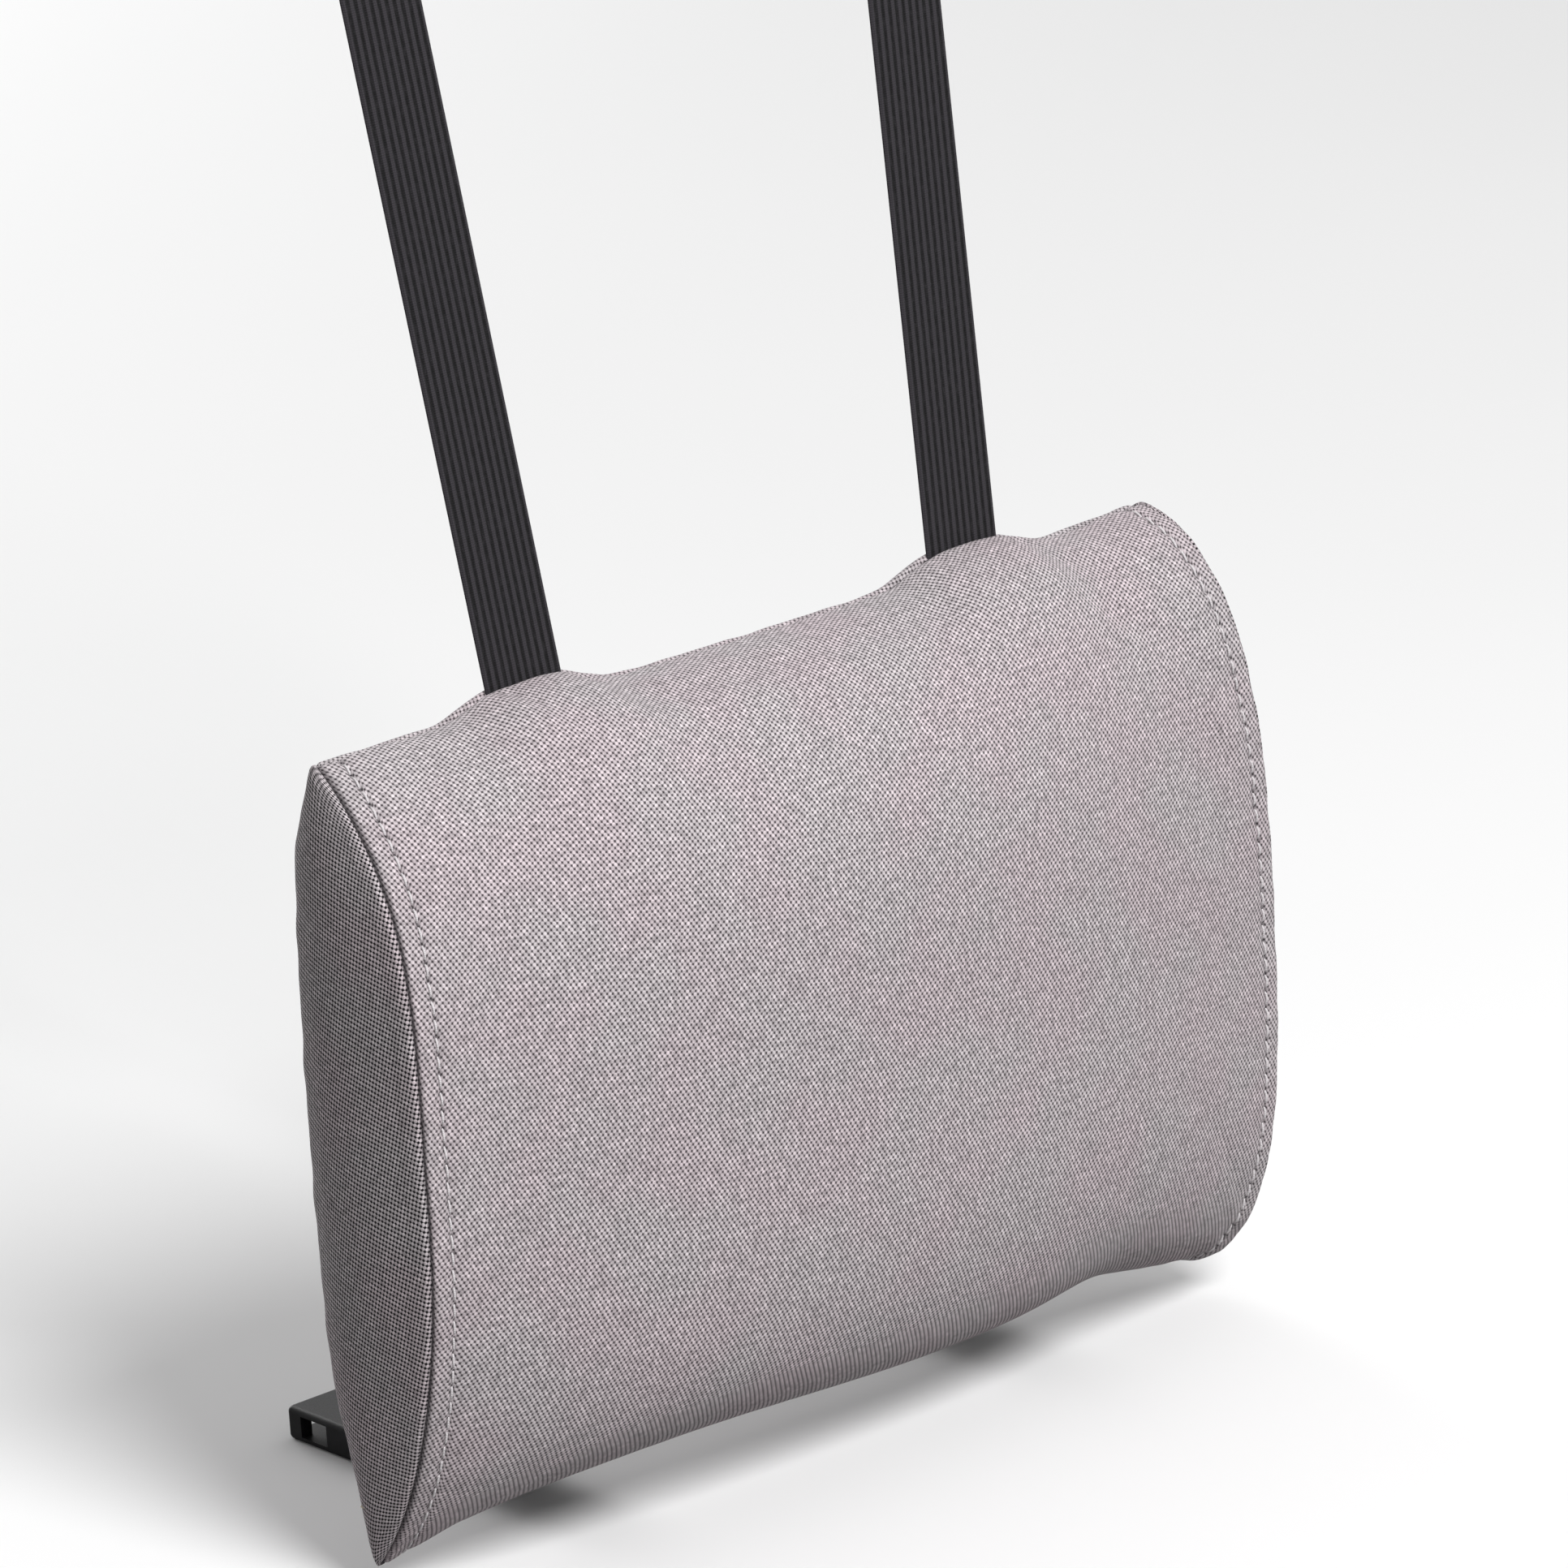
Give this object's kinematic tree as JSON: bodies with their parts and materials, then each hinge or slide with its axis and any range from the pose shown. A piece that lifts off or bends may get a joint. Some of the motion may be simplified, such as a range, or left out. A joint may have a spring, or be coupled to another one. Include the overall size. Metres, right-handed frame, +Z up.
{
  "type": "lumbar support cushion",
  "caption": "Zipped fabric lumbar cushion with a crowned front, leaf-shaped ends and ribbed elastic straps with side-release buckles that hold it to an office chair.",
  "frame": {"origin": "on the flat back face that rests on the backrest, at the middle of the width and of the height", "axes": "+X along the width, +Y out of the back toward the backrest, +Z up; the crowned front faces -Y"},
  "size_m": [0.3, 0.158, 0.5622],
  "materials": {
    "cover_fabric": "matt heather weave",
    "liner_fabric": "thin knitted liner",
    "foam": "memory foam",
    "elastic_webbing": "ribbed woven elastic",
    "zip_tape": "woven zip tape",
    "zip_coil": "nylon coil",
    "zip_metal": "satin enamel",
    "black_plastic": "fine moulded grain"
  },
  "bodies": {
    "cushion": {"back_panel_lower": "cover_fabric", "back_panel_upper": "cover_fabric", "foam_core": "foam", "front_panel": "cover_fabric", "gusset_left": "cover_fabric", "gusset_right": "cover_fabric", "inner_liner": "liner_fabric", "lower_strap_left": "elastic_webbing", "lower_strap_right": "elastic_webbing", "upper_strap_left": "elastic_webbing", "upper_strap_return_left": "elastic_webbing", "upper_strap_return_right": "elastic_webbing", "upper_strap_right": "elastic_webbing", "zip_coil_lower": "zip_coil", "zip_coil_upper": "zip_coil", "zip_stops": "zip_metal", "zip_tape_lower": "zip_tape", "zip_tape_upper": "zip_tape"},
    "female_half_left": {"buckle_female_left": "black_plastic"},
    "female_half_right": {"buckle_female_right": "black_plastic"},
    "male_half_left": {"buckle_male_left": "black_plastic"},
    "male_half_right": {"buckle_male_right": "black_plastic"},
    "prong_inner_left": {"buckle_prong_inner_left": "black_plastic"},
    "prong_inner_right": {"buckle_prong_inner_right": "black_plastic"},
    "prong_outer_left": {"buckle_prong_outer_left": "black_plastic"},
    "prong_outer_right": {"buckle_prong_outer_right": "black_plastic"},
    "adjuster_left": {"strap_end_fold_left": "elastic_webbing", "triglide_left": "black_plastic"},
    "adjuster_right": {"strap_end_fold_right": "elastic_webbing", "triglide_right": "black_plastic"},
    "zip_pull_body": {"zip_pull_tab": "zip_metal"},
    "zip_slider_body": {"zip_slider": "zip_metal"}
  },
  "joints": [
    {"name": "zip_slide", "type": "slide", "parent": "cushion", "child": "zip_slider_body", "axis": [-1, 0, 0], "range_m": [0, 0.238]},
    {"name": "zip_pull_flip", "type": "hinge", "parent": "zip_slider_body", "child": "zip_pull_body", "pos_m": [0.119, -0.00365, -0.08472], "axis": [0, -0.2771, -0.9608], "range_deg": [0, 170]},
    {"name": "adjuster_slide_left", "type": "slide", "parent": "cushion", "child": "adjuster_left", "axis": [0, 0, -1], "range_m": [0, 0.026], "deforming": ["upper_strap_return_left"]},
    {"name": "male_half_swing_left", "type": "hinge", "parent": "cushion", "child": "male_half_left", "pos_m": [-0.09394, 0.0786, 0.339], "axis": [1, 0, 0], "range_deg": [-70, 70]},
    {"name": "prong_squeeze_outer_left", "type": "hinge", "parent": "male_half_left", "child": "prong_outer_left", "pos_m": [-0.10544, 0.0786, 0.321], "axis": [0, -1, 0], "range_deg": [0, 8], "stiffness_Nm_per_rad": 0.02},
    {"name": "prong_squeeze_inner_left", "type": "hinge", "parent": "male_half_left", "child": "prong_inner_left", "pos_m": [-0.08244, 0.0786, 0.321], "axis": [0, 1, 0], "range_deg": [0, 8], "stiffness_Nm_per_rad": 0.02},
    {"name": "female_half_lift_left", "type": "hinge", "parent": "cushion", "child": "female_half_left", "pos_m": [-0.076, 0.05, -0.1096], "axis": [1, 0, 0], "range_deg": [0, 80]},
    {"name": "adjuster_slide_right", "type": "slide", "parent": "cushion", "child": "adjuster_right", "axis": [0, 0, -1], "range_m": [0, 0.026], "deforming": ["upper_strap_return_right"]},
    {"name": "male_half_swing_right", "type": "hinge", "parent": "cushion", "child": "male_half_right", "pos_m": [0.09394, 0.0786, 0.339], "axis": [1, 0, 0], "range_deg": [-70, 70]},
    {"name": "prong_squeeze_outer_right", "type": "hinge", "parent": "male_half_right", "child": "prong_outer_right", "pos_m": [0.10544, 0.0786, 0.321], "axis": [0, 1, 0], "range_deg": [0, 8], "stiffness_Nm_per_rad": 0.02},
    {"name": "prong_squeeze_inner_right", "type": "hinge", "parent": "male_half_right", "child": "prong_inner_right", "pos_m": [0.08244, 0.0786, 0.321], "axis": [0, -1, 0], "range_deg": [0, 8], "stiffness_Nm_per_rad": 0.02},
    {"name": "female_half_lift_right", "type": "hinge", "parent": "cushion", "child": "female_half_right", "pos_m": [0.076, 0.05, -0.1096], "axis": [1, 0, 0], "range_deg": [0, 80]}
  ],
  "couplings": [
    {"joint": "prong_squeeze_inner_left", "follows": "prong_squeeze_outer_left", "ratio": 1},
    {"joint": "prong_squeeze_inner_right", "follows": "prong_squeeze_outer_right", "ratio": 1}
  ]
}
